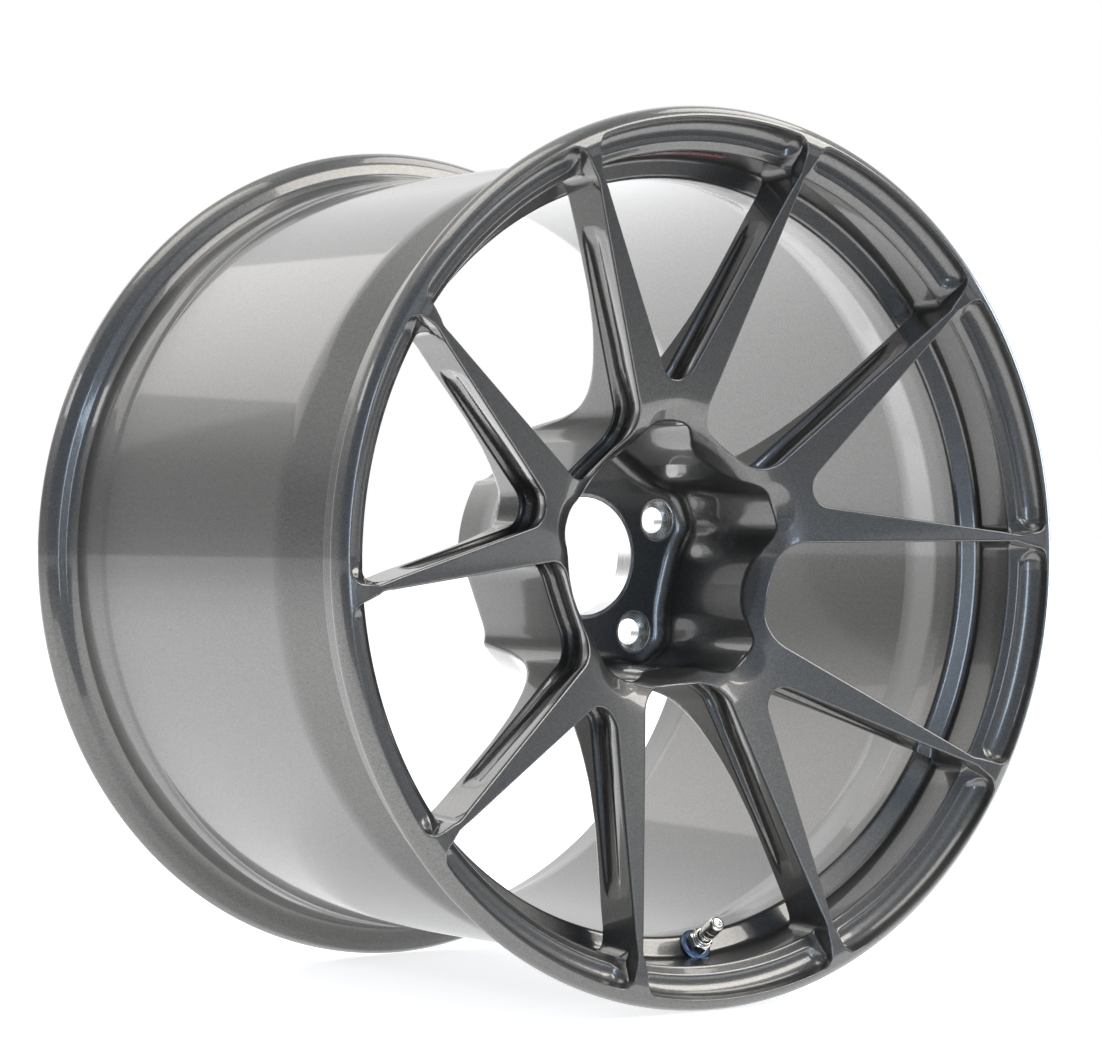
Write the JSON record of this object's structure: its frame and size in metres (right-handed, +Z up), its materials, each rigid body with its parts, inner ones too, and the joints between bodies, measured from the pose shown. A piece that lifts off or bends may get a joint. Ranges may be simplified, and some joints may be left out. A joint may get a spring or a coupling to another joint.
{
  "type": "racing wheel",
  "caption": "Wide forged racing wheel with slim paired spokes, a deep lobed hub pocket with conical lug seats, a stepped lip and a clamp-in metal valve.",
  "frame": {"origin": "on the wheel axis at the middle of the overall width", "axes": "+Y along the wheel axis from the outboard face towards the vehicle, +Z up, +X to the right seen from outboard"},
  "size_m": [0.4966, 0.334, 0.4962],
  "materials": {
    "gunmetal_paint": "gloss metallic gunmetal paint with fine flake over forged aluminium",
    "nickel_plate": "bright nickel plate over brass",
    "steel": "zinc-plated steel, satin",
    "brass": "machined brass",
    "black_rubber": "matt black rubber",
    "label_film": "glossy printed film, plain bands, no lettering"
  },
  "bodies": {
    "root": {"front_rim": "gunmetal_paint", "rear_rim": "gunmetal_paint", "hub_centre": "gunmetal_paint", "spoke_01": "gunmetal_paint", "spoke_02": "gunmetal_paint", "spoke_03": "gunmetal_paint", "spoke_04": "gunmetal_paint", "spoke_05": "gunmetal_paint", "spoke_06": "gunmetal_paint", "spoke_07": "gunmetal_paint", "spoke_08": "gunmetal_paint", "spoke_09": "gunmetal_paint", "spoke_10": "gunmetal_paint", "valve_stem": "nickel_plate", "valve_tyre_side_seal": "black_rubber", "valve_washer": "steel", "valve_nut": "nickel_plate", "valve_core_body": "brass", "valve_core_spring": "steel", "window_wall_label": "label_film"},
    "core_pin": {"valve_core_pin": "brass"},
    "cap_seal": {"valve_cap_seal": "black_rubber"},
    "cap": {"valve_cap": "nickel_plate"}
  },
  "joints": [
    {"name": "cap_lift", "type": "slide", "parent": "root", "child": "cap_seal", "axis": [-0.0305, -0.832, 0.554], "range_m": [0, 0.00476]},
    {"name": "cap_turn", "type": "hinge", "parent": "cap_seal", "child": "cap", "pos_m": [0.01193, -0.125, -0.21672], "axis": [-0.0305, -0.832, 0.554], "range_deg": [0, 2160]},
    {"name": "core_press", "type": "slide", "parent": "root", "child": "core_pin", "axis": [0.0305, 0.832, -0.554], "range_m": [0, 0.0012], "stiffness_N_per_m": 800}
  ],
  "couplings": [
    {"joint": "cap_turn", "follows": "cap_lift", "rad_per_m": 7915.8}
  ]
}
